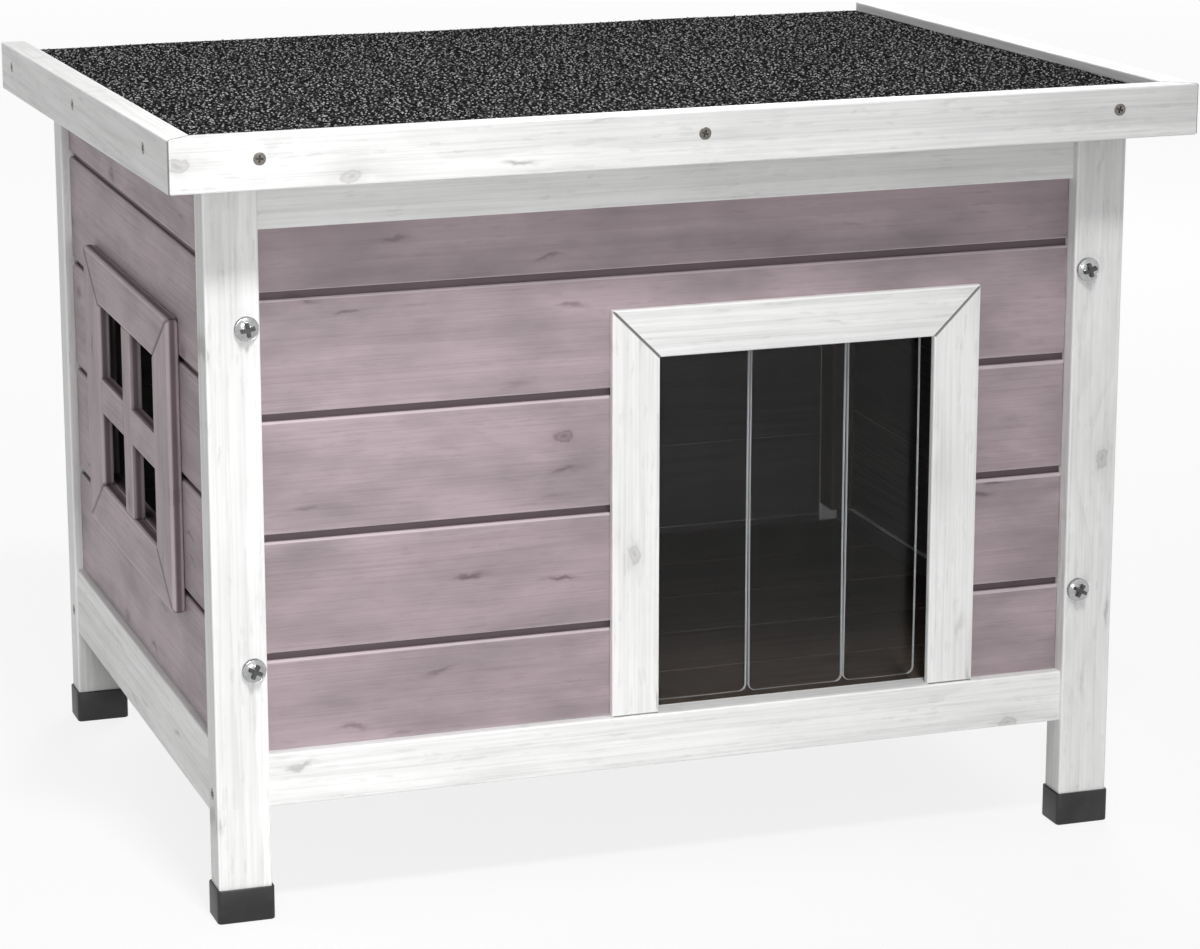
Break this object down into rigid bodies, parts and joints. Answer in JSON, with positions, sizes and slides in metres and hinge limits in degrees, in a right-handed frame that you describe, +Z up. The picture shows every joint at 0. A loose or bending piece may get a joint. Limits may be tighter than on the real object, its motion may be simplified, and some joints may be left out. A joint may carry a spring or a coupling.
{
  "type": "outdoor cat house",
  "caption": "Small boarded outdoor cat house on capped posts, with a cased doorway hung with clear flap strips, a cross-barred side window and a hinged felt roof.",
  "frame": {"origin": "on the ground, under the middle of the roof's plan", "axes": "+Z up; the door faces -Y; +X to the right seen from the front, so the window wall is at -X"},
  "size_m": [0.57, 0.45, 0.43],
  "materials": {
    "white_wood": "white stain with the grain showing",
    "mauve_wood": "mauve grey stain with the grain showing",
    "bare_wood": "planed softwood",
    "mineral_felt": "bitumen felt with mineral grains",
    "black_plastic": "moulded, matt",
    "zinc_steel": "zinc plated",
    "clear_plastic": "clear soft sheet"
  },
  "bodies": {
    "house": {"back_bottom_rail": "white_wood", "back_planks": "mauve_wood", "back_top_rail": "white_wood", "corner_battens": "bare_wood", "door_casing_left": "white_wood", "door_casing_right": "white_wood", "door_casing_top": "white_wood", "flap_bar": "bare_wood", "floor_boards": "bare_wood", "floor_cleats": "bare_wood", "frame_bolts": "zinc_steel", "front_bottom_rail": "white_wood", "front_plank_bottom_left": "mauve_wood", "front_plank_bottom_right": "mauve_wood", "front_plank_lower_left": "mauve_wood", "front_plank_lower_right": "mauve_wood", "front_plank_middle_left": "mauve_wood", "front_plank_middle_right": "mauve_wood", "front_plank_top": "mauve_wood", "front_plank_upper": "mauve_wood", "front_top_rail": "white_wood", "hinge_pins": "zinc_steel", "hinge_wall_leaves": "zinc_steel", "hinge_wall_screws": "zinc_steel", "left_bottom_rail": "white_wood", "left_plank_bottom": "mauve_wood", "left_plank_lower": "mauve_wood", "left_plank_middle": "mauve_wood", "left_plank_top": "mauve_wood", "left_plank_upper": "mauve_wood", "leg_caps": "black_plastic", "post_back_left": "white_wood", "post_back_right": "white_wood", "post_front_left": "white_wood", "post_front_right": "white_wood", "rail_screws": "zinc_steel", "right_bottom_rail": "white_wood", "right_plank_bottom": "mauve_wood", "right_plank_lower": "mauve_wood", "right_plank_middle": "mauve_wood", "right_plank_top": "mauve_wood", "right_plank_upper": "mauve_wood", "window_frame_back": "mauve_wood", "window_frame_bottom": "mauve_wood", "window_frame_front": "mauve_wood", "window_frame_top": "mauve_wood", "window_muntin_crossbar": "mauve_wood", "window_muntin_upright": "mauve_wood"},
    "roof": {"fascia_front": "white_wood", "fascia_left": "white_wood", "fascia_right": "white_wood", "fascia_screws": "zinc_steel", "roof_felt": "mineral_felt", "roof_deck": "bare_wood", "hinge_roof_leaves": "zinc_steel", "hinge_roof_screws": "zinc_steel"},
    "flap_left": {"flap_strip_left": "clear_plastic"},
    "flap_middle": {"flap_strip_middle": "clear_plastic"},
    "flap_right": {"flap_strip_right": "clear_plastic"}
  },
  "joints": [
    {"name": "roof_lift", "type": "hinge", "parent": "house", "child": "roof", "pos_m": [0, 0.2013, 0.39886], "axis": [-1, 0, 0], "range_deg": [0, 95]},
    {"name": "left_flap_swing", "type": "hinge", "parent": "house", "child": "flap_left", "pos_m": [0.0195, -0.168, 0.2897], "axis": [1, 0, 0], "range_deg": [-80, 80]},
    {"name": "middle_flap_swing", "type": "hinge", "parent": "house", "child": "flap_middle", "pos_m": [0.0765, -0.168, 0.2897], "axis": [1, 0, 0], "range_deg": [-80, 80]},
    {"name": "right_flap_swing", "type": "hinge", "parent": "house", "child": "flap_right", "pos_m": [0.127, -0.168, 0.2897], "axis": [1, 0, 0], "range_deg": [-80, 80]}
  ]
}
